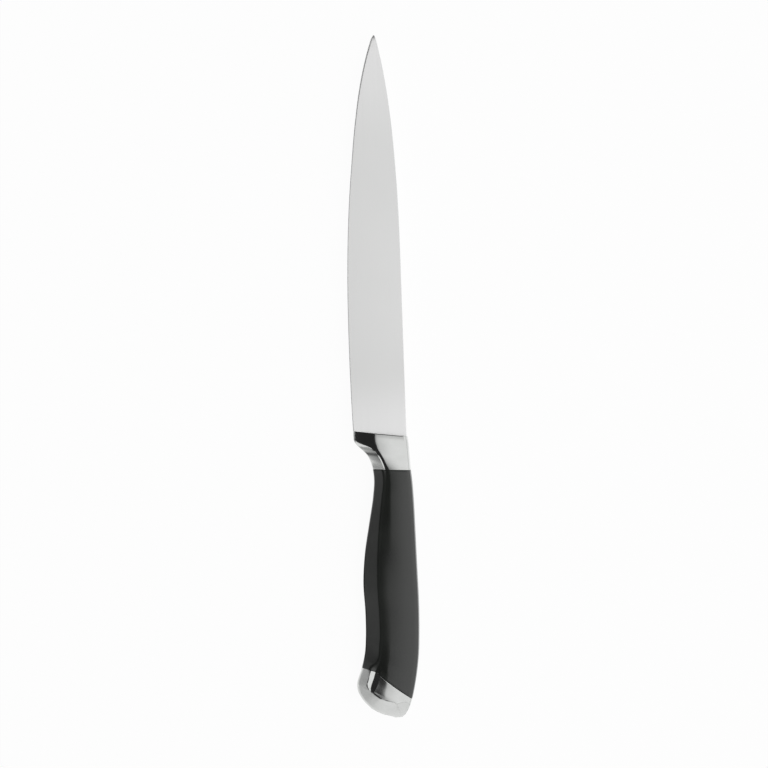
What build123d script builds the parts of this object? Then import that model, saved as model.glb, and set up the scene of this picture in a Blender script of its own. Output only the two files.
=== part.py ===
from build123d import *
import os

# A forged carving knife that lies on its side, in millimetres.
# +Y runs to the tip, +X to the spine and +Z through the thickness.
# It is drawn with the heel of the cutting edge at Y = 0 and the blade centred on X = 0.
# At the end it moves so that the origin is under the middle of its overall box.

# Overall sizes
blade_length = 200.0
blade_width = 27.6
grip_length = 145.6
grip_thickness = 16.8

# Blade: a flat taper ground from spine to edge and from heel to tip, with a small edge bevel
spine_thickness = 2.6
edge_thickness = 1.1
tip_thickness = 0.66
bevel_angle = 20.0
bevel_reach = 8.0

# The cutting edge and the spine as (share of blade length, share of blade width)
edge_shares = [(0.0, -0.475), (0.35, -0.49), (0.75, -0.278), (0.9, -0.09), (1.0, 0.152)]
spine_shares = [(0.475, 0.5), (0.75, 0.43), (0.9, 0.312), (1.0, 0.152)]
edge_start_share = -0.236

# Tang: the narrow flat bar that carries the grip
tang_socket = 7.4
tang_front_width = 12.0
tang_end_width = 8.0
tang_front_x = 4.5
tang_end_x = -2.0
tang_thickness = 2.4

# Fits
slot_clearance = 0.05
recess_clearance = 0.2
pin_clearance = 0.05
blind_clearance = 0.3
end_clearance = 0.5

# Pins: the dowels are shut in between the two handle shells
dowel_diameter = 4.0
dowel_length = 10.0
dowel_shares = [0.27, 0.46, 0.65]
cap_pin_diameter = 3.0

# Tenon of the end cap: two cheeks that grip the tang inside the handle
tenon_length = 16.0
tenon_root = 9.0
tenon_cheek = 2.8
tenon_rim = 2.6
tenon_end_radius = 2.0

# Corners of the grip's section, as shares of its half thickness
corner_share = 0.26
crown_share = 0.07
fall_share = 0.05
quarter_share = 0.5523

# Sections of the grip from the blade to the butt. Each row holds the belly point and the spine
# point, as (share of grip length back from the heel, share of blade width), then the half
# thickness of the flank and of the belly roll as shares of the grip thickness, and the widths of
# the roll and of the wall beside it as shares of the section's width.
section_shares = [
    (0.0, -0.475, 0.0237, 0.516, 0.38, 0.083, 0.044, 0.438),
    (0.02, -0.478, 0.041, 0.527, 0.393, 0.095, 0.054, 0.414),
    (0.037, -0.466, 0.055, 0.533, 0.405, 0.12, 0.08, 0.355),
    (0.049, -0.422, 0.067, 0.536, 0.411, 0.155, 0.13, 0.288),
    (0.063, -0.347, 0.08, 0.54, 0.417, 0.208, 0.196, 0.204),
    (0.084, -0.242, 0.099, 0.545, 0.429, 0.28, 0.286, 0.138),
    (0.11, -0.175, 0.121, 0.55, 0.44, 0.339, 0.356, 0.09),
    (0.135, -0.142, 0.141, 0.557, 0.452, 0.369, 0.385, 0.068),
    (0.171, -0.125, 0.181, 0.576, 0.47, 0.387, 0.309, 0.103),
    (0.226, -0.151, 0.243, 0.591, 0.482, 0.405, 0.263, 0.136),
    (0.322, -0.242, 0.35, 0.602, 0.494, 0.423, 0.276, 0.144),
    (0.426, -0.34, 0.467, 0.611, 0.5, 0.429, 0.309, 0.142),
    (0.529, -0.387, 0.584, 0.621, 0.5, 0.429, 0.322, 0.139),
    (0.632, -0.369, 0.698, 0.611, 0.494, 0.423, 0.301, 0.147),
    (0.72, -0.377, 0.798, 0.577, 0.494, 0.423, 0.279, 0.168),
    (0.781, -0.411, 0.88, 0.507, 0.496, 0.423, 0.25, 0.215),
    (0.8235, -0.469, 0.9245, 0.451, 0.5, 0.423, 0.232, 0.248),
    (0.884, -0.564, 0.963, 0.382, 0.5, 0.423, 0.218, 0.253),
    (0.922, -0.512, 0.984, 0.318, 0.5, 0.423, 0.222, 0.25),
    (0.953, -0.387, 0.995, 0.267, 0.464, 0.393, 0.221, 0.253),
    (0.971, -0.275, 0.999, 0.235, 0.375, 0.315, 0.22, 0.254),
    (0.983, -0.18, 1.0, 0.184, 0.208, 0.179, 0.223, 0.252),
]
heel_row = 0
bolster_row = 7
cap_row = 16

# The tang ends in a socket behind the seam of the end cap
cap_seam_share = (section_shares[cap_row][0] + section_shares[cap_row][2]) / 2
tang_length = cap_seam_share * grip_length + tang_socket


def bladePoint(lengthShare, widthShare):
    return Vector(widthShare * blade_width, lengthShare * blade_length)


def gripPoint(backShare, widthShare):
    return Vector(widthShare * blade_width, -backShare * grip_length)


def tangentArcs(points, direction):
    """Arcs through the points, each one tangent to the one before it."""
    arcs = []
    for start, end in zip(points[:-1], points[1:]):
        arcs.append(TangentArc(start, end, tangent=direction))
        direction = arcs[-1] % 1
    return arcs


def seamPlane(row):
    """The plane of one grip section, facing the butt."""
    belly = gripPoint(*row[0:2])
    across = (gripPoint(*row[2:4]) - belly).normalized()
    return Plane(origin=belly, x_dir=across, z_dir=across.cross(Vector(0, 0, 1)))


def grindPlane():
    """The upper face of the flat grind."""
    edgeHeel = Vector(-blade_width / 2, 0, edge_thickness / 2)
    spineHeel = Vector(blade_width / 2, 0, spine_thickness / 2)
    tip = bladePoint(*edge_shares[-1]) + Vector(0, 0, tip_thickness / 2)
    along = (tip - edgeHeel).normalized()
    return Plane(origin=edgeHeel, x_dir=along, z_dir=(spineHeel - edgeHeel).cross(along))


def bevelBody():
    """Everything inside the two edge bevels, which meet along the cutting edge."""
    points = [bladePoint(*shares) for shares in edge_shares]
    arcs = tangentArcs(points, Vector(edge_start_share * blade_width, blade_length))
    behind = points[0] - (arcs[0] % 0) * bevel_reach
    beyond = points[-1] + (arcs[-1] % 1) * bevel_reach
    farSide = blade_width / 2 + bevel_reach
    rim = Polyline(beyond, (farSide, beyond.Y), (farSide, behind.Y), behind)
    face = make_face([Line(behind, points[0]), *arcs, Line(points[-1], beyond), rim]).face()
    if face.normal_at().Z < 0:
        face = -face
    upper = extrude(face, amount=spine_thickness / 2, taper=90 - bevel_angle)
    return upper + mirror(upper, about=Plane.XY)


def bladePlate():
    """The flat plate that the spine, the heel and the tip bound."""
    points = [bladePoint(*shares) for shares in spine_shares]
    heel = seamPlane(section_shares[heel_row])
    run = points[0].X - heel.origin.X
    spineHeel = heel.origin + heel.x_dir * (run / heel.x_dir.X)
    straight = Line(spineHeel, points[0])
    arcs = tangentArcs(points, straight % 1)
    beyond = points[-1] + (arcs[-1] % 1) * bevel_reach
    farSide = -blade_width / 2 - bevel_reach
    edgeHeel = heel.origin - heel.x_dir * bevel_reach
    rim = Polyline(beyond, (farSide, beyond.Y), edgeHeel, spineHeel)
    face = make_face([straight, *arcs, Line(points[-1], beyond), rim])
    return extrude(face, amount=spine_thickness / 2, both=True)


def tangCentre(y):
    """The middle of the tang's width at Y."""
    return Vector(tang_front_x + (tang_end_x - tang_front_x) * y / -tang_length, y)


def tangBar(side, face, end):
    """The tang's bar grown by a clearance at its sides, faces and end, back from the blade."""
    front = tang_front_width / 2 + side
    tail = tang_end_width / 2 + side
    tangEnd = -tang_length - end
    outline = Polyline(
        (tang_front_x - front, 0),
        (tang_front_x + front, 0),
        (tang_end_x + tail, tangEnd),
        (tang_end_x - tail, tangEnd),
        close=True,
    )
    bar = extrude(make_face(outline), amount=tang_thickness / 2 + face, both=True)
    return split(bar, bisect_by=seamPlane(section_shares[heel_row]), keep=Keep.TOP)


def dowels(growth, endGrowth):
    """The dowels through the tang, grown by a clearance."""
    centres = [tangCentre(-share * grip_length) for share in dowel_shares]
    radius = dowel_diameter / 2 + growth
    length = dowel_length + 2 * endGrowth
    return [Pos(centre.X, centre.Y) * Cylinder(radius, length) for centre in centres]


def tenonPlane():
    """The tang's frame where it crosses the seam of the end cap, with Y along the tang."""
    seam = seamPlane(section_shares[cap_row])
    along = (tangCentre(0) - tangCentre(-tang_length)).normalized()
    start = tangCentre(0)
    reach = (seam.origin - start).dot(seam.z_dir) / along.dot(seam.z_dir)
    return Plane(origin=start + along * reach, x_dir=along.cross(Vector(0, 0, 1)), z_dir=(0, 0, 1))


def tenonBlock(growth):
    """The end cap's tenon, grown by a clearance all round."""
    width = tang_end_width + 2 * (tenon_rim + growth)
    height = tang_thickness + 2 * (tenon_cheek + growth)
    length = tenon_length + growth + tenon_root
    centre = (tenon_length + growth - tenon_root) / 2
    outline = Pos(0, centre) * RectangleRounded(width, length, tenon_end_radius)
    return tenonPlane() * extrude(outline, amount=height / 2, both=True)


def capPin(growth, endGrowth):
    """The pin across the tenon's cheeks and the tang."""
    height = tang_thickness + 2 * (tenon_cheek + endGrowth)
    return tenonPlane() * Pos(0, tenon_length / 2) * Cylinder(cap_pin_diameter / 2 + growth, height)


def gripSection(row):
    """One closed section: belly roll, wall, flank, corner and spine, on both sides."""
    flankShare, rollShare, rollWidthShare, wallShare = row[4:8]
    belly = gripPoint(*row[0:2])
    across = gripPoint(*row[2:4]) - belly
    width = across.length
    across = across.normalized()
    flank = flankShare * grip_thickness
    roll = rollShare * grip_thickness
    shoulder = flank - fall_share * flank
    rollWidth = rollWidthShare * width
    wallEnd = rollWidth + wallShare * width
    corner = corner_share * flank
    crown = crown_share * flank
    flankEnd = width - crown - corner
    round_ = quarter_share
    upper = [
        [(0, 0), (0, round_ * roll), (rollWidth * (1 - round_), roll), (rollWidth, roll)],
        [
            (rollWidth, roll),
            (rollWidth + (wallEnd - rollWidth) / 3, roll + (shoulder - roll) * 2 / 3),
            (rollWidth + (wallEnd - rollWidth) * 2 / 3, shoulder),
            (wallEnd, shoulder),
        ],
        [
            (wallEnd, shoulder),
            (wallEnd + (flankEnd - wallEnd) / 3, flank),
            (wallEnd + (flankEnd - wallEnd) * 2 / 3, flank),
            (flankEnd, flank),
        ],
        [
            (flankEnd, flank),
            (flankEnd + corner * round_, flank),
            (width - crown, flank - corner * (1 - round_)),
            (width - crown, flank - corner),
        ],
        [
            (width - crown, flank - corner),
            (width - crown / 2, (flank - corner) * 2 / 3),
            (width, (flank - corner) / 3),
            (width, 0),
        ],
    ]
    lower = [[(s, -z) for s, z in reversed(controls)] for controls in reversed(upper)]
    edges = []
    for controls in upper + lower:
        edges.append(Bezier(*[belly + across * s + Vector(0, 0, z) for s, z in controls]))
    return make_face(edges)


def makeBlade():
    plate = bevelBody() & bladePlate()
    grind = grindPlane()
    keepLow = Keep.BOTTOM if grind.z_dir.Z > 0 else Keep.TOP
    plate = split(plate, bisect_by=grind, keep=keepLow)
    plate = mirror(split(mirror(plate, about=Plane.XY), bisect_by=grind, keep=keepLow), about=Plane.XY)
    blade = plate + tangBar(0, 0, 0)
    for hole in [*dowels(0, 0), capPin(0, 0)]:
        blade = blade - hole
    return blade


def makeBolster(grip):
    collar = split(grip, bisect_by=seamPlane(section_shares[bolster_row]), keep=Keep.BOTTOM)
    return collar - tangBar(slot_clearance, slot_clearance, 0)


def makeHandle(grip):
    """The handle as one body with its hollows, before it is split into two shells."""
    body = split(grip, bisect_by=seamPlane(section_shares[bolster_row]), keep=Keep.TOP)
    body = split(body, bisect_by=seamPlane(section_shares[cap_row]), keep=Keep.BOTTOM)
    body = body - tangBar(recess_clearance, recess_clearance, end_clearance)
    body = body - tenonBlock(recess_clearance)
    for hole in dowels(pin_clearance, blind_clearance):
        body = body - hole
    return body


def makeEndCap(grip):
    cap = split(grip, bisect_by=seamPlane(section_shares[cap_row]), keep=Keep.TOP)
    cap = cap + tenonBlock(0)
    cap = cap - tangBar(slot_clearance, slot_clearance, end_clearance)
    return cap - capPin(0, 0)


grip = loft([gripSection(row) for row in section_shares])
handle = makeHandle(grip)
pieces = {
    "blade": makeBlade(),
    "bolster": makeBolster(grip),
    "handle_left": split(handle, bisect_by=Plane.XY, keep=Keep.TOP),
    "handle_right": split(handle, bisect_by=Plane.XY, keep=Keep.BOTTOM),
    "tang_dowels": Compound(children=dowels(0, 0)),
    "end_cap": makeEndCap(grip),
    "cap_pin": capPin(0, 0),
}

box = Compound(children=[piece.solids()[0] for piece in pieces.values()]).bounding_box()
toOrigin = Pos(-box.center().X, -box.center().Y, -box.min.Z)
os.makedirs("parts", exist_ok=True)
for name, piece in pieces.items():
    solids = [toOrigin * solid for solid in piece.solids()]
    export_step(solids[0] if len(solids) == 1 else Compound(children=solids), f"parts/{name}.step")
    print(name, len(solids), [round(solid.volume) for solid in solids])
print("overall", [round(size, 2) for size in box.size])
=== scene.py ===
import math
import bpy
import bmesh
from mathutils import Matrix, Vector


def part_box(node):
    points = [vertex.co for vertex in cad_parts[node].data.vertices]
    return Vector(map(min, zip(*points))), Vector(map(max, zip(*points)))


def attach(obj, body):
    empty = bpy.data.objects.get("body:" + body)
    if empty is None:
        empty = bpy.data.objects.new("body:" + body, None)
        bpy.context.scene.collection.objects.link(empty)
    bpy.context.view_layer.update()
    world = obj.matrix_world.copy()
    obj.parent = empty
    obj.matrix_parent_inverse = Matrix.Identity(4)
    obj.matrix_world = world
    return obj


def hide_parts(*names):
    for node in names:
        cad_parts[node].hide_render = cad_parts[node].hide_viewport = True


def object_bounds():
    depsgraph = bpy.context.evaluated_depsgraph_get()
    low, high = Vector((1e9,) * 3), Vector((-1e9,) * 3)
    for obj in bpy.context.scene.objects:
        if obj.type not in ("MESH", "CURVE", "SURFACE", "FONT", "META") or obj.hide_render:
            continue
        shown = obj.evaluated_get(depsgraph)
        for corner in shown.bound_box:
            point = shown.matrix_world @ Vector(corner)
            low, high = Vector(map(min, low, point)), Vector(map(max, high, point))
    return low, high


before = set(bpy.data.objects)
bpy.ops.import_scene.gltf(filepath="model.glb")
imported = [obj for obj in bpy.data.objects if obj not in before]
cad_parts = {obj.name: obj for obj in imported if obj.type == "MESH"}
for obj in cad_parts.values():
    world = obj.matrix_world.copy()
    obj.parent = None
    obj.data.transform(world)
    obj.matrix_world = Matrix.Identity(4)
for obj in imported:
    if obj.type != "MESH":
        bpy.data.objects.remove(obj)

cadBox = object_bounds()
mm = 0.001
spineReach = 13.8        # mm from the middle of the blade to its spine

# The drawing lies as in the source, in mm: heel of the edge at y = 0, blade centred on x = 0, middle plane at z = 0
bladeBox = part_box("blade")
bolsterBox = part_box("bolster")
heelPoint = Vector((bladeBox[1].x - spineReach * mm, bolsterBox[1].y, (bladeBox[0].z + bladeBox[1].z) / 2))


def place(x, y, z):
    return heelPoint + Vector((x, y, z)) * mm


class Wire:
    # a socket that can stand in an expression
    def __init__(self, sheet, socket):
        self.sheet = sheet
        self.socket = socket

    def maths(self, operation, first, second):
        return self.sheet.node("ShaderNodeMath", {"operation": operation}, {0: first, 1: second})

    def __add__(self, other):
        return self.maths("ADD", self, other)

    def __radd__(self, other):
        return self.maths("ADD", other, self)

    def __sub__(self, other):
        return self.maths("SUBTRACT", self, other)

    def __rsub__(self, other):
        return self.maths("SUBTRACT", other, self)

    def __mul__(self, other):
        return self.maths("MULTIPLY", self, other)

    def __rmul__(self, other):
        return self.maths("MULTIPLY", other, self)

    def __neg__(self):
        return self.maths("MULTIPLY", self, -1.0)


class Sheet:
    # one node tree, cleared
    def __init__(self, tree):
        self.tree = tree
        tree.nodes.clear()

    def node(self, kind, settings=None, inputs=None, output=0):
        made = self.tree.nodes.new(kind)
        for name, value in (settings or {}).items():
            setattr(made, name, value)
        for name, value in (inputs or {}).items():
            if isinstance(value, Wire):
                self.tree.links.new(value.socket, made.inputs[name])
            else:
                made.inputs[name].default_value = value
        return Wire(self, made.outputs[output]) if made.outputs else None

    def here(self):
        return self.node("ShaderNodeTexCoord", output="Object")

    def noise(self, where, scale, detail, roughness=0.5):
        return self.node("ShaderNodeTexNoise", {},
                         {"Vector": where, "Scale": scale, "Detail": detail, "Roughness": roughness})

    def stretch(self, where, scale):
        return self.node("ShaderNodeMapping", {"vector_type": "POINT"}, {"Vector": where, "Scale": scale})

    def parts(self, vector):
        # the three numbers of a vector
        split = self.node("ShaderNodeSeparateXYZ", {}, {0: vector})
        return [Wire(self, socket) for socket in split.socket.node.outputs]

    def smooth(self, value, low, high, toLow=0.0, toHigh=1.0):
        return self.node("ShaderNodeMapRange", {"interpolation_type": "SMOOTHSTEP"},
                         {"Value": value, "From Min": low, "From Max": high, "To Min": toLow, "To Max": toHigh})

    def between(self, factor, first, second):
        return self.node("ShaderNodeMix", {"data_type": "RGBA"}, {0: factor, 6: first, 7: second}, 2)

    def bump(self, height, strength, distance):
        return self.node("ShaderNodeBump", {}, {"Height": height, "Strength": strength, "Distance": distance})

    def surface(self, inputs):
        shader = self.node("ShaderNodeBsdfPrincipled", {}, inputs)
        self.node("ShaderNodeOutputMaterial", {}, {"Surface": shader})


def newMaterial(name):
    material = bpy.data.materials.new(name)
    material.use_nodes = True
    return material, Sheet(material.node_tree)


def grey(level):
    return (level, level, level, 1.0)


bladeLook = {
    "pale": (0.83, 0.832, 0.828, 1.0),
    "dark": (0.78, 0.782, 0.778, 1.0),
    "rough": 0.2,
    "streaks": (2600.0, 12.0, 200.0),        # grinding marks run along the blade
    "tip": (0.14, 0.2),        # metres from the heel between which the blade pales towards the tip, a painted highlight standing in for the brighter reflection there
    "heel": (0.03, 0.0),        # and towards the heel, the same painted highlight
    # grey of the painted highlight at the blade's tip and heel
    "endSheenGrey": 0.93,
}


def makeBladeSteel():
    material, sheet = newMaterial("bladeSteel")
    here = sheet.here()
    streaks = sheet.noise(sheet.stretch(here, bladeLook["streaks"]), 1.0, 3.0, 0.6)
    cloud = sheet.noise(here, 22.0, 2.0)
    tone = 0.65 * streaks + 0.35 * cloud
    colour = sheet.between(sheet.smooth(tone, 0.3, 0.7), bladeLook["dark"], bladeLook["pale"])
    far = sheet.parts(here)[1]
    tip, heel = ([heelPoint.y + distance for distance in bladeLook[end]] for end in ("tip", "heel"))
    # painted highlight: the base colour pales towards the tip and the heel to copy the brighter reflection there
    endSheen = sheet.smooth(far, *tip) + sheet.smooth(far, *heel)
    colour = sheet.between(0.8 * endSheen, colour, grey(bladeLook["endSheenGrey"]))
    sheet.surface({"Base Color": colour, "Metallic": 1.0, "Roughness": bladeLook["rough"] + 0.1 * streaks,
                   "Normal": sheet.bump(streaks, 0.06, 0.00005)})
    return material


edgeLook = {
    "greys": (0.84, 0.94),
    "metallic": 0.75,
    "rough": 0.54,
    "marks": (300.0, 3200.0, 300.0),        # honing marks run across the edge
}


def makeEdgeSteel():
    material, sheet = newMaterial("edgeSteel")
    here = sheet.here()
    marks = sheet.noise(sheet.stretch(here, edgeLook["marks"]), 1.0, 2.0)
    dark, pale = edgeLook["greys"]
    sheet.surface({"Base Color": sheet.between(marks, grey(dark), grey(pale)), "Metallic": edgeLook["metallic"],
                   "Roughness": edgeLook["rough"] + 0.12 * marks})
    return material


polishedLook = {
    "pale": (0.7, 0.708, 0.698, 1.0),
    "dark": (0.65, 0.66, 0.648, 1.0),
    "rough": 0.13,
    "cloudScale": 90.0,
    "grainScale": 1400.0,
}


def makePolishedSteel():
    material, sheet = newMaterial("polishedSteel")
    here = sheet.here()
    cloud = sheet.noise(here, polishedLook["cloudScale"], 3.0, 0.55)
    fine = sheet.noise(here, polishedLook["grainScale"], 2.0, 0.6)
    colour = sheet.between(sheet.smooth(cloud, 0.35, 0.65), polishedLook["dark"], polishedLook["pale"])
    sheet.surface({"Base Color": colour, "Metallic": 1.0,
                   "Roughness": polishedLook["rough"] + 0.05 * cloud + 0.02 * fine,
                   "Normal": sheet.bump(fine, 0.03, 0.00003)})
    return material


gripLook = {
    "black": (0.0148, 0.0164, 0.0148, 1.0),
    "worn": (0.0182, 0.0203, 0.018, 1.0),
    "rough": 0.23,
    "shine": 1.75,        # the index that sets how much the polymer mirrors
    "grainScale": 2600.0,
    "cellScale": 1500.0,
    "cloudScale": 60.0,
}


def makeGripPolymer():
    material, sheet = newMaterial("gripPolymer")
    here = sheet.here()
    grain = sheet.noise(here, gripLook["grainScale"], 2.0)
    cells = sheet.node("ShaderNodeTexVoronoi", {}, {"Vector": here, "Scale": gripLook["cellScale"]})
    cloud = sheet.noise(here, gripLook["cloudScale"], 3.0)
    colour = sheet.between(sheet.smooth(cloud, 0.35, 0.65), gripLook["black"], gripLook["worn"])
    sheet.surface({"Base Color": colour, "Metallic": 0.0, "IOR": gripLook["shine"],
                   "Roughness": gripLook["rough"] + 0.08 * cloud + 0.05 * grain,
                   "Normal": sheet.bump(0.6 * grain + 0.4 * cells, 0.12, 0.00004)})
    return material


pinLook = {
    "greys": (0.5, 0.66),
    "rough": 0.25,
    "marks": (200.0, 200.0, 6000.0),        # turning marks run round the pins
}


def makePinSteel():
    material, sheet = newMaterial("pinSteel")
    here = sheet.here()
    turned = sheet.noise(sheet.stretch(here, pinLook["marks"]), 1.0, 2.0)
    dark, pale = pinLook["greys"]
    sheet.surface({"Base Color": sheet.between(turned, grey(dark), grey(pale)), "Metallic": 1.0,
                   "Roughness": pinLook["rough"] + 0.15 * turned})
    return material


bladeSteel = makeBladeSteel()
edgeSteel = makeEdgeSteel()
polishedSteel = makePolishedSteel()
gripPolymer = makeGripPolymer()
pinSteel = makePinSteel()
print("materials made")


def slopeAt(rows, index, column):
    # slope of the smooth curve through three neighbouring rows
    last = len(rows) - 1
    if index in (0, last):
        a, b = (0, 1) if index == 0 else (last - 1, last)
        return (rows[b][column] - rows[a][column]) / (rows[b][0] - rows[a][0])
    before = rows[index][0] - rows[index - 1][0]
    after = rows[index + 1][0] - rows[index][0]
    left = (rows[index][column] - rows[index - 1][column]) / before
    right = (rows[index + 1][column] - rows[index][column]) / after
    return (left * after + right * before) / (before + after)


def readRows(rows, where):
    # a smooth curve through every column of the rows, read at one place along them
    index = 0
    while index < len(rows) - 2 and where > rows[index + 1][0]:
        index += 1
    start, end = rows[index], rows[index + 1]
    span = end[0] - start[0]
    t = (where - start[0]) / span
    values = []
    for column in range(1, len(start)):
        slopeStart = slopeAt(rows, index, column) * span
        slopeEnd = slopeAt(rows, index + 1, column) * span
        values.append((2 * t**3 - 3 * t**2 + 1) * start[column] + (t**3 - 2 * t**2 + t) * slopeStart
                      + (3 * t**2 - 2 * t**3) * end[column] + (t**3 - t**2) * slopeEnd)
    return values


def curve(a, b, c, d, steps):
    # points along one Bezier curve, without its last
    points = []
    for i in range(steps):
        t = i / steps
        points.append(tuple((1 - t)**3 * a[k] + 3 * t * (1 - t)**2 * b[k] + 3 * t * t * (1 - t) * c[k] + t**3 * d[k]
                            for k in (0, 1)))
    return points


def straight(a, d, steps, pull=1 / 3):
    # points along a straight line, without its last; a small pull draws them to its ends
    reach = [(end - start) * pull for start, end in zip(a, d)]
    return curve(a, (a[0] + reach[0], a[1] + reach[1]), (d[0] - reach[0], d[1] - reach[1]), d, steps)


def ring(mesh, points):
    # a circle whose corners are moved onto the section
    made = bmesh.ops.create_circle(mesh, segments=len(points), radius=0.01)["verts"]
    for corner, point in zip(made, points):
        corner.co = point
    return list(dict.fromkeys(edge for corner in made for edge in corner.link_edges))


def tube(sections):
    # a closed skin over the sections, and the edges of its two ends
    mesh = bmesh.new()
    loops = [ring(mesh, points) for points in sections]
    for before, after in zip(loops[:-1], loops[1:]):
        bmesh.ops.bridge_loops(mesh, edges=before + after)
    for loop in (loops[0], loops[-1]):
        bmesh.ops.edgeloop_fill(mesh, edges=loop)
    bmesh.ops.recalc_face_normals(mesh, faces=mesh.faces[:])
    return mesh, loops[0], loops[-1]


def easeEdges(mesh, edges, width):
    bmesh.ops.bevel(mesh, geom=edges, offset=width * mm, offset_type="OFFSET", segments=2, profile=0.5,
                    affect="EDGES", material=-1, clamp_overlap=True)


def finishPiece(name, mesh, materials, node, sharp=32.0):
    # edges that turn by more degrees than sharp stay crisp
    bmesh.ops.recalc_face_normals(mesh, faces=mesh.faces[:])
    for face in mesh.faces:
        face.smooth = True
    for edge in mesh.edges:
        if len(edge.link_faces) == 2:
            edge.smooth = edge.calc_face_angle(0.0) < math.radians(sharp)
    data = bpy.data.meshes.new(name)
    mesh.to_mesh(data)
    mesh.free()
    piece = bpy.data.objects.new(name, data)
    bpy.context.scene.collection.objects.link(piece)
    for material in materials:
        data.materials.append(material)
    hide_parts(node)
    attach(piece, "root")
    print(name, len(data.polygons), "faces")


# outline of the grip: mean distance back from the heel, then belly point and spine point as (back, x)
gripOutline = [
    (1.72, 0.00, -13.11, 3.45, 14.24),
    (4.44, 2.91, -13.19, 5.97, 14.55),
    (6.70, 5.39, -12.86, 8.01, 14.71),
    (8.45, 7.13, -11.65, 9.76, 14.79),
    (10.41, 9.17, -9.58, 11.65, 14.90),
    (13.32, 12.23, -6.68, 14.41, 15.04),
    (16.82, 16.02, -4.83, 17.62, 15.18),
    (20.10, 19.66, -3.92, 20.53, 15.37),
    (25.62, 24.90, -3.45, 26.35, 15.90),
    (34.15, 32.91, -4.17, 35.38, 16.31),
    (48.92, 46.88, -6.68, 50.96, 16.62),
    (65.01, 62.03, -9.38, 68.00, 16.86),
    (81.02, 77.02, -10.68, 85.03, 17.14),
    (96.82, 92.02, -10.18, 101.63, 16.86),
    (110.51, 104.83, -10.41, 116.19, 15.93),
    (120.92, 113.71, -11.34, 128.13, 13.99),
    (128.57, 120.70, -13.19, 136.43, 11.98),
    (134.46, 128.71, -15.57, 140.21, 10.54),
    (138.76, 134.24, -14.13, 143.27, 8.78),
    (141.82, 138.76, -10.68, 144.87, 7.37),
    (143.42, 141.38, -7.59, 145.45, 6.49),
    (144.20, 142.80, -4.97, 145.60, 5.08),
    (144.75, 143.95, -2.10, 145.55, 3.40),
]
# mean distance back, tilt of the belly facet, widths of the roll, strip and wall, heights of the crest and the
# flank, fall of the flank, tilts of the wall and the strip, and how far the wall keeps its first tilt
gripShape = [
    (1.72, 41, 0.9, 0.1, 10.3, 1.5, 6.32, 0.6, 12, 0, 0.5),
    (4.44, 41, 0.9, 0.1, 10.3, 1.7, 6.67, 0.6, 12, 0, 0.5),
    (6.70, 40, 1.5, 0.3, 9.6, 2.4, 6.8, 0.6, 12, 0, 0.5),
    (7.60, 35, 3.1, 0.4, 7.8, 3.3, 6.83, 0.6, 15, 0, 0.5),
    (8.45, 33.5, 5.0, 0.5, 5.4, 4.1, 6.86, 0.6, 18, 0, 0.5),
    (10.41, 33.2, 6.5, 0.6, 2.5, 5.2, 6.9, 0.55, 24, 0, 0.45),
    (12.0, 34.5, 6.4, 0.6, 1.9, 5.5, 6.94, 0.48, 25, 0, 0.42),
    (13.32, 34.7, 6.2, 0.6, 1.6, 5.8, 6.98, 0.4, 26, 0, 0.4),
    (15.0, 37.0, 6.2, 0.65, 1.45, 5.93, 7.05, 0.46, 26, 0, 0.36),
    (16.82, 40.4, 6.2, 0.7, 1.4, 6.0, 7.15, 0.52, 26, 0, 0.33),
    (20.10, 41.5, 6.4, 0.8, 1.9, 6.1, 7.4, 0.6, 26, 6, 0.33),
    (25.62, 41.8, 6.2, 0.8, 2.1, 6.1, 7.8, 0.7, 22, 15, 0.33),
    (34.15, 41.8, 5.8, 0.7, 3.0, 6.1, 8.1, 0.7, 19, 16, 0.33),
    (48.92, 41.1, 6.4, 0.6, 4.8, 6.15, 8.3, 0.7, 18, 15, 0.33),
    (65.01, 40.6, 7.8, 0.6, 5.9, 6.35, 8.4, 0.76, 18, 15, 0.33),
    (81.02, 40.2, 8.6, 0.5, 5.7, 6.6, 8.4, 0.72, 17, 15, 0.33),
    (96.82, 40.2, 8.7, 0.5, 5.1, 6.65, 8.4, 0.72, 17, 15, 0.33),
    (110.51, 40.4, 8.7, 0.6, 4.6, 6.55, 8.4, 0.72, 17, 15, 0.33),
    (120.92, 41.5, 8.3, 1.0, 4.8, 5.8, 8.4, 0.74, 18, 8, 0.33),
    (124.6, 43, 7.5, 2.1, 4.7, 5.0, 8.4, 0.65, 14, 0, 0.33),
    (128.57, 43, 7.3, 2.4, 5.2, 5.05, 8.4, 0.56, 12, 0, 0.33),
    (132.30, 43, 7.2, 2.4, 6.1, 5.36, 8.4, 0.48, 9.3, 0, 0.33),
    (133.40, 43, 7.3, 2.1, 6.7, 5.66, 8.4, 0.46, 9.2, 0, 0.33),
    (134.10, 43, 7.8, 0.7, 7.4, 6.6, 8.4, 0.46, 9, 5, 0.33),
    (134.80, 43, 7.8, 0.4, 7.8, 6.82, 8.4, 0.46, 9, 8.5, 0.33),
    (138.76, 43, 7.6, 0.4, 7.2, 7.0, 8.4, 0.4, 9, 9, 0.33),
    (141.82, 43, 6.6, 0.4, 5.6, 7.0, 8.4, 0.4, 9, 9, 0.33),
    (143.42, 43, 5.4, 0.4, 4.4, 6.6, 8.4, 0.4, 10, 10, 0.33),
    (144.20, 43, 3.8, 0.4, 2.4, 6.4, 8.4, 0.4, 10, 10, 0.33),
    (144.75, 43, 1.6, 0.3, 0.9, 6.4, 8.4, 0.4, 10, 10, 0.33),
]
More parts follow.
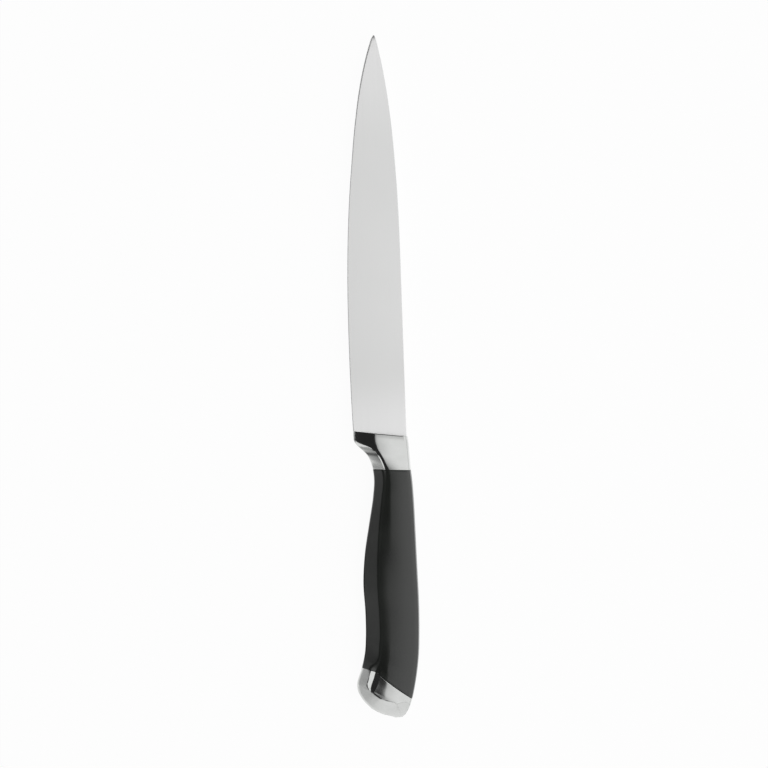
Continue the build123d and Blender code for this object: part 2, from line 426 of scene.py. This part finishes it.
# mean distance back, width and tilt of the steeper bank between the strip and the wall
gripBank = [
    (1.72, 0.12, 12), (8.45, 0.12, 18), (13.32, 0.12, 26), (20.10, 0.12, 26), (34.15, 0.12, 18), (65.01, 0.12, 16),
    (110.51, 0.12, 14), (118.5, 0.12, 15), (119.8, 0.12, 16), (120.92, 0.3, 20), (124.6, 2.4, 33),
    (128.57, 2.7, 33), (132.30, 2.3, 34), (133.40, 1.7, 34), (134.10, 0.6, 26), (134.80, 0.2, 12),
    (135.6, 0.12, 10), (137.0, 0.12, 10), (144.75, 0.1, 10),
]
gripSize = {
    "corner": 1.6,        # rounding between the flank and the spine
    "crown": 0.5,         # how far the spine bulges
    "seam": 127.25,       # mean distance back of the seam between the shells and the cap
}
bolsterStart = gripOutline[0][0]
bolsterEnd = gripOutline[7][0]
handleEnd = gripSize["seam"]
capEnd = gripOutline[-1][0]
quarterPull = 0.5523        # makes a Bezier curve follow a quarter of a circle


def gripHalf(size, width, facetTilt, roll, strip, wall, crest, flank, fall, wallTilt, stripTilt, hold, bank,
             bankTilt):
    # the upper half of a section from the belly to the spine, as (across, height); where the section is small,
    # a rounding takes only a share of it
    facet, tip = math.radians(facetTilt), math.radians(stripTilt)
    crestRound = min(size["crestRound"], 0.45 * roll)
    stripStart = (roll - strip, crest - math.tan(tip) * strip)
    facetEnd = (stripStart[0] - crestRound * (math.sin(facet) - math.sin(tip)),
                stripStart[1] - crestRound * (math.cos(tip) - math.cos(facet)))
    edge = min(0.35 * roll, size["bellyRound"])
    drop = min(math.tan(facet) * (facetEnd[0] - edge), size["facetDrop"] * facetEnd[1])
    facetStart = (edge, facetEnd[1] - drop)
    slope = drop / max(facetEnd[0] - edge, 0.001)
    bankEnd = (roll + bank, crest + math.tan(math.radians(bankTilt)) * bank)
    wallEnd = (bankEnd[0] + wall, flank - fall)
    corner = min(gripSize["corner"], 0.4 * flank)
    crown = min(gripSize["crown"], 0.1 * flank)
    flankEnd = (width - crown - corner, flank)
    span = flankEnd[0] - wallEnd[0]
    lean = 2 * fall / span
    rise = math.tan(math.radians(wallTilt))

    points = curve((0, 0), (0, facetStart[1] * 0.6), (edge * 0.45, facetStart[1] - slope * edge * 0.55),
                   facetStart, 5)
    points += straight(facetStart, facetEnd, 11, 0.08)
    pull = crestRound * 4 / 3 * math.tan((facet - tip) / 4)
    points += curve(facetEnd, (facetEnd[0] + pull * math.cos(facet), facetEnd[1] + pull * math.sin(facet)),
                    (stripStart[0] - pull * math.cos(tip), stripStart[1] - pull * math.sin(tip)), stripStart, 7)
    points += straight(stripStart, (roll, crest), 8)
    points += straight((roll, crest), bankEnd, 4)
    first, second = hold * wall, (1 - hold) / 2 * wall
    points += curve(bankEnd, (bankEnd[0] + first, bankEnd[1] + rise * first),
                    (wallEnd[0] - second, wallEnd[1] - lean * second), wallEnd, 15)
    points += curve(wallEnd, (wallEnd[0] + span / 3, wallEnd[1] + lean * span / 3),
                    (flankEnd[0] - span / 3, flank), flankEnd, 14)
    crownStart = (width - crown, flank - corner)
    points += curve(flankEnd, (flankEnd[0] + corner * quarterPull, flank),
                    (crownStart[0], flank - corner * (1 - quarterPull)), crownStart, 6)
    points += curve(crownStart, (width - crown / 2, crownStart[1] * 2 / 3), (width, crownStart[1] / 3),
                    (width, 0), 3)
    return points, (width, 0)


def gripSection(where, size):
    bellyBack, bellyX, spineBack, spineX = readRows(gripOutline, where)
    belly = Vector((bellyX, -bellyBack, 0))
    spine = Vector((spineX, -spineBack, 0))
    across = spine - belly
    width = across.length
    across.normalize()
    half, end = gripHalf(size, width, *readRows(gripShape, where), *readRows(gripBank, where))
    if "endRound" in size:
        half[1:] = [(s, min(z, max(size["leastHeight"], underEnd(belly + across * s, z)))) for s, z in half[1:]]
    lower = [(s, -z) for s, z in reversed(half[1:])]
    corners = []
    for s, z in half + [end] + lower:
        point = belly + across * s
        corners.append(place(point.x, point.y, z))
    return corners


# how far the seam of the cap bends towards the butt, by share across the grip, and how far along it fades
seamBend = [(0.0, 0.45), (0.12, -0.65), (0.274, -1.7), (0.4, -1.05), (0.52, -0.5), (0.75, 0.1), (1.0, 0.4)]
seamReach = 7.5


def bentSections(places, size):
    # near the seam of the cap every corner slides along the grip, so that the seam runs in a curve
    ready = {}

    def readySection(tenth):
        if tenth not in ready:
            ready[tenth] = gripSection(tenth / 10, size)
        return ready[tenth]

    sections = []
    for where in places:
        plain = gripSection(where, size)
        near = max(0.0, 1 - abs(where - handleEnd) / seamReach)
        if near > 0:
            belly, spine = plain[0], plain[len(plain) // 2]
            span = spine - belly
            for i, corner in enumerate(plain[:]):
                share = (corner - belly).dot(span) / span.length_squared
                slid = 10 * (where + near * near * (3 - 2 * near) * readRows(seamBend, share)[0])
                tenth = math.floor(slid)
                plain[i] = readySection(tenth)[i].lerp(readySection(tenth + 1)[i], slid - tenth)
        sections.append(plain)
    return sections


def stations(start, end, step):
    count = max(2, round((end - start) / step))
    return [start + (end - start) * i / count for i in range(count + 1)]


bolsterSize = {
    "crestRound": 0.15,
    "bellyRound": 0.27,
    "facetDrop": 0.94,        # share of the crest's height that the belly facet may take
    "bladeGap": 0.12,
    "handleGap": 0.04,
    "bladeEase": 0.11,
    "handleEase": 0.0367,
    "step": 0.5,
}


def makeBolster():
    places = stations(bolsterStart + bolsterSize["bladeGap"], bolsterEnd - bolsterSize["handleGap"],
                      bolsterSize["step"])
    mesh, front, back = tube([gripSection(where, bolsterSize) for where in places])
    easeEdges(mesh, front, bolsterSize["bladeEase"])
    easeEdges(mesh, back, bolsterSize["handleEase"])
    finishPiece("bolsterCollar", mesh, [polishedSteel], "bolster")


shellSize = {
    "crestRound": 2.3,
    "bellyRound": 0.45,
    "facetDrop": 0.94,
    "gap": 0.08,        # to the bolster and to the seam of the cap
    "ease": 0.12,
    "easeFrom": 50.0,        # edges that turn by more degrees than this are eased
    "step": 1.1,
}


def makeShells():
    places = stations(bolsterEnd + shellSize["gap"], handleEnd - shellSize["gap"], shellSize["step"])
    sections = bentSections(places, shellSize)
    for name, node, side in (("handleShellLeft", "handle_left", 1), ("handleShellRight", "handle_right", -1)):
        mesh = tube(sections)[0]
        cut = bmesh.ops.bisect_plane(mesh, geom=mesh.verts[:] + mesh.edges[:] + mesh.faces[:], dist=1e-7,
                                     plane_co=heelPoint, plane_no=(0, 0, side), clear_inner=True)
        rim = [edge for edge in cut["geom_cut"] if isinstance(edge, bmesh.types.BMEdge)]
        bmesh.ops.holes_fill(mesh, edges=rim)
        keen = math.radians(shellSize["easeFrom"])
        easeEdges(mesh, [edge for edge in mesh.edges if edge.calc_face_angle(0.0) > keen], shellSize["ease"])
        finishPiece(name, mesh, [gripPolymer], node)


capSize = {
    "crestRound": 0.15,
    "bellyRound": 0.27,
    "facetDrop": 0.75,
    "gap": 0.02,
    "seamEase": 0.28,
    "endRound": 0.08,        # rounding between the end facet and the top
    "lipStart": 0.15,        # height of the cap's very edge, and how fast it rises to the lip
    "lipRise": 0.16,
    "leastHeight": 0.05,
    "step": 0.35,
}
# distance back, tilt of the end facet and height of its lip
endFacetRows = [
    (117.0, 44.2, 0.35), (127.0, 44.2, 0.35), (130.5, 43.7, 0.37), (134.24, 42.3, 0.5), (138.76, 41.7, 0.7),
    (142.8, 42.0, 0.7), (146.0, 42.2, 0.6),
]
# the outline that the end facet runs along, round from the belly to the spine
endLine = []
endLineStart, endLineStep, endLineCount = 118.0, 0.65, 42
for count in range(endLineCount):
    back, x = readRows(gripOutline, endLineStart + count * endLineStep)[:2]
    endLine.append(Vector((x, -back, 0)))
for row in reversed(gripOutline[-4:]):
    endLine.append(Vector((row[4], -row[3], 0)))


def gapTo(point, line):
    # shortest way from a point to a line of points, and how far back it meets that line
    best = (1000.0, 0.0)
    for start, end in zip(line[:-1], line[1:]):
        along = end - start
        share = min(1.0, max(0.0, (point - start).dot(along) / along.length_squared))
        met = start + along * share
        best = min(best, ((point - met).length, -met.y))
    return best


def underEnd(point, height):
    # the end of the cap is cut back by a facet that runs along its outline
    gap, back = gapTo(point, endLine)
    tilt, lip = readRows(endFacetRows, back)
    rise = lip * (1 - math.exp(-gap / capSize["lipRise"])) + math.tan(math.radians(tilt)) * gap
    limit = capSize["lipStart"] + rise
    ease = capSize["endRound"]
    blend = max(0.0, min(1.0, 0.5 + 0.5 * (limit - height) / ease))
    return limit * (1 - blend) + height * blend - ease * blend * (1 - blend)


def makeCap():
    places = stations(handleEnd + capSize["gap"], capEnd, capSize["step"])
    mesh, front = tube(bentSections(places, capSize))[:2]
    easeEdges(mesh, front, capSize["seamEase"])
    finishPiece("endCapSteel", mesh, [polishedSteel], "end_cap")


bladeSize = {
    "bevelAngle": 20.0,
    "spineEase": 0.22,
    "heelSlant": 0.1261,        # the heel runs back towards the spine by this share
    "heelEdge": 13.11,        # from the middle of the blade to its edge at the heel
    "slantReach": 12.0,        # from the heel to where the slant has faded
    "stations": ((-2.5, 190.0, 2.5), (191.0, 199.7, 0.8)),        # start, end and step, closer at the tip
    "facets": 8,        # strips across the flat grind of each side
    "sharp": 8.0,        # degrees from which an edge stays crisp
}
# distance from the heel, edge x, spine x, half thickness behind the edge and at the spine
bladeRows = [
    (-3.4, -12.95, 13.8, 0.1, 1.3), (0.0, -13.11, 13.8, 0.1, 1.29), (20.0, -13.62, 13.8, 0.1, 1.2),
    (45.0, -13.8, 13.8, 0.1, 1.09), (70.0, -13.55, 13.8, 0.1, 0.99), (95.0, -12.6, 13.8, 0.1, 0.88),
    (118.0, -11.0, 13.45, 0.11, 0.78), (138.0, -8.95, 12.6, 0.13, 0.7), (150.0, -7.6, 11.9, 0.16, 0.64),
    (160.0, -6.2, 11.05, 0.19, 0.59), (170.0, -4.6, 10.0, 0.22, 0.53), (180.0, -2.5, 8.6, 0.25, 0.47),
    (189.0, -0.15, 7.1, 0.27, 0.4), (195.0, 1.75, 5.85, 0.27, 0.35), (198.9, 3.3, 4.85, 0.2, 0.26),
    (199.7, 3.85, 4.45, 0.12, 0.16),
]


def bladeSection(y):
    edgeX, spineX, edgeHalf, spineHalf = readRows(bladeRows, y)
    width = spineX - edgeX
    slope = math.tan(math.radians(bladeSize["bevelAngle"]))
    bevel = min(edgeHalf / slope, 0.4 * width)
    edgeHalf = bevel * slope
    ease = min(bladeSize["spineEase"], 0.3 * spineHalf, 0.2 * width)
    top = [(edgeX, 0.0), (edgeX + bevel / 2, edgeHalf / 2)]
    for i in range(bladeSize["facets"] + 1):
        share = i / bladeSize["facets"]
        top.append((edgeX + bevel + (width - bevel - ease) * share, edgeHalf + (spineHalf - edgeHalf) * share))
    top += [(spineX - ease * 0.3, spineHalf - ease * 0.3), (spineX, spineHalf - ease),
            (spineX, (spineHalf - ease) / 2)]
    profile = top + [(spineX, 0.0)] + [(x, -z) for x, z in reversed(top[1:])]
    corners = []
    for x, z in profile:
        slant = (bladeSize["heelEdge"] + x) * bladeSize["heelSlant"] * max(0.0, 1 - y / bladeSize["slantReach"])
        corners.append(place(x, y - slant, z))
    return corners


def makeBlade():
    body, tip = bladeSize["stations"]
    mesh = tube([bladeSection(y) for y in stations(*body) + stations(*tip)])[0]
    lean = math.sin(math.radians(bladeSize["bevelAngle"]))
    for face in mesh.faces:
        if abs(-face.normal.x - lean) < 0.06:
            face.material_index = 1        # the ground bevel
    finishPiece("bladeGround", mesh, [bladeSteel, edgeSteel], "blade", bladeSize["sharp"])


makeBlade()
makeBolster()
makeShells()
makeCap()
for name in ("tang_dowels", "cap_pin"):
    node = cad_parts[name]
    node.data.materials.clear()
    node.data.materials.append(pinSteel)
print("pieces made")

studio = {
    "lens": 100.0,
    "sensor": 36.0,
    "field": 0.38865,        # width of the view at the middle plane
    "aimX": 2.49 * mm,
    "aimY": -3.97 * mm,
    "roll": 2.0,
    "floorSize": 3.0,
    "floorDrop": 0.0002,
    "floorGrey": 0.9,
    "floorWhite": 0.95,        # how far the floor turns white for the camera and in the steel
    "lampPlace": (0.5, -0.2, 1.6),
    "lampPower": 5.0,
    "lampSize": 1.2,
}
# dark screens stand beside and ahead of the knife, and a grey band runs round the horizon; each is a pair of
# directions between which it fades in
screens = {
    "beside": (0.06, 0.36),
    "besideEnd": (0.93, 0.78),
    "ahead": (0.18, 0.42),
    "aheadEnd": (0.82, 0.66),
    "aheadSide": (0.3, 0.05),
    "dark": 0.976,
    "horizon": (0.26, 0.06),
    "horizonTurn": (0.66, 0.9),
    "horizonGrey": (0.42, 0.74),
}


def makeFloor():
    mesh = bmesh.new()
    bmesh.ops.create_grid(mesh, x_segments=1, y_segments=1, size=studio["floorSize"])
    data = bpy.data.meshes.new("floor")
    mesh.to_mesh(data)
    mesh.free()
    floor = bpy.data.objects.new("floor", data)
    floor.location.z = cadBox[0].z - studio["floorDrop"]
    bpy.context.scene.collection.objects.link(floor)
    material, sheet = newMaterial("paleFloor")
    seen = (sheet.node("ShaderNodeLightPath", output="Is Camera Ray")
            + sheet.node("ShaderNodeLightPath", output="Is Glossy Ray"))
    plain = sheet.node("ShaderNodeBsdfDiffuse", {}, {"Color": grey(studio["floorGrey"])})
    bright = sheet.node("ShaderNodeEmission", {}, {"Color": grey(1.0), "Strength": 1.0})
    both = sheet.node("ShaderNodeMixShader", {}, {0: studio["floorWhite"] * seen, 1: plain, 2: bright})
    sheet.node("ShaderNodeOutputMaterial", {}, {"Surface": both})
    data.materials.append(material)


def makeWorld():
    world = bpy.data.worlds.new("softStudio")
    world.use_nodes = True
    bpy.context.scene.world = world
    sheet = Sheet(world.node_tree)
    x, y, z = sheet.parts(sheet.node("ShaderNodeTexCoord", output="Generated"))
    beside = sheet.smooth(-x, *screens["beside"]) * sheet.smooth(-y, *screens["besideEnd"])
    ahead = sheet.smooth(y, *screens["ahead"]) * sheet.smooth(y, *screens["aheadEnd"])
    ahead = ahead * sheet.smooth(x, *screens["aheadSide"])
    level = 1.0 - screens["dark"] * (beside + ahead - beside * ahead)
    horizon = sheet.smooth(z, *screens["horizon"])
    rim = sheet.smooth(-y, *screens["horizonTurn"], *screens["horizonGrey"])
    light = sheet.node("ShaderNodeBackground", {},
                       {"Color": grey(1.0), "Strength": level * (1 - horizon) + horizon * rim})
    white = sheet.node("ShaderNodeBackground", {}, {"Color": grey(1.0), "Strength": 1.0})
    camera = sheet.node("ShaderNodeLightPath", output="Is Camera Ray")
    both = sheet.node("ShaderNodeMixShader", {}, {0: camera, 1: light, 2: white})
    sheet.node("ShaderNodeOutputWorld", {}, {"Surface": both})


def makeLamp():
    data = bpy.data.lights.new("softLamp", "AREA")
    data.energy = studio["lampPower"]
    data.size = studio["lampSize"]
    lamp = bpy.data.objects.new("softLamp", data)
    lamp.location = studio["lampPlace"]
    lamp.rotation_euler = (-lamp.location).to_track_quat("-Z", "Y").to_euler()
    lamp.visible_glossy = False        # it lights the floor and the black grip, not the steel
    bpy.context.scene.collection.objects.link(lamp)


def makeCamera():
    data = bpy.data.cameras.new("photoCamera")
    data.lens = studio["lens"]
    data.sensor_width = studio["sensor"]
    data.clip_start = 0.01
    data.clip_end = 20.0
    camera = bpy.data.objects.new("photoCamera", data)
    height = studio["field"] * studio["lens"] / studio["sensor"]
    camera.location = (studio["aimX"], studio["aimY"], heelPoint.z + height)
    camera.rotation_euler = (0.0, 0.0, math.radians(-studio["roll"]))
    bpy.context.scene.collection.objects.link(camera)
    bpy.context.scene.camera = camera


makeFloor()
makeWorld()
makeLamp()
makeCamera()
bpy.context.scene.view_settings.view_transform = "Standard"
print("studio made")
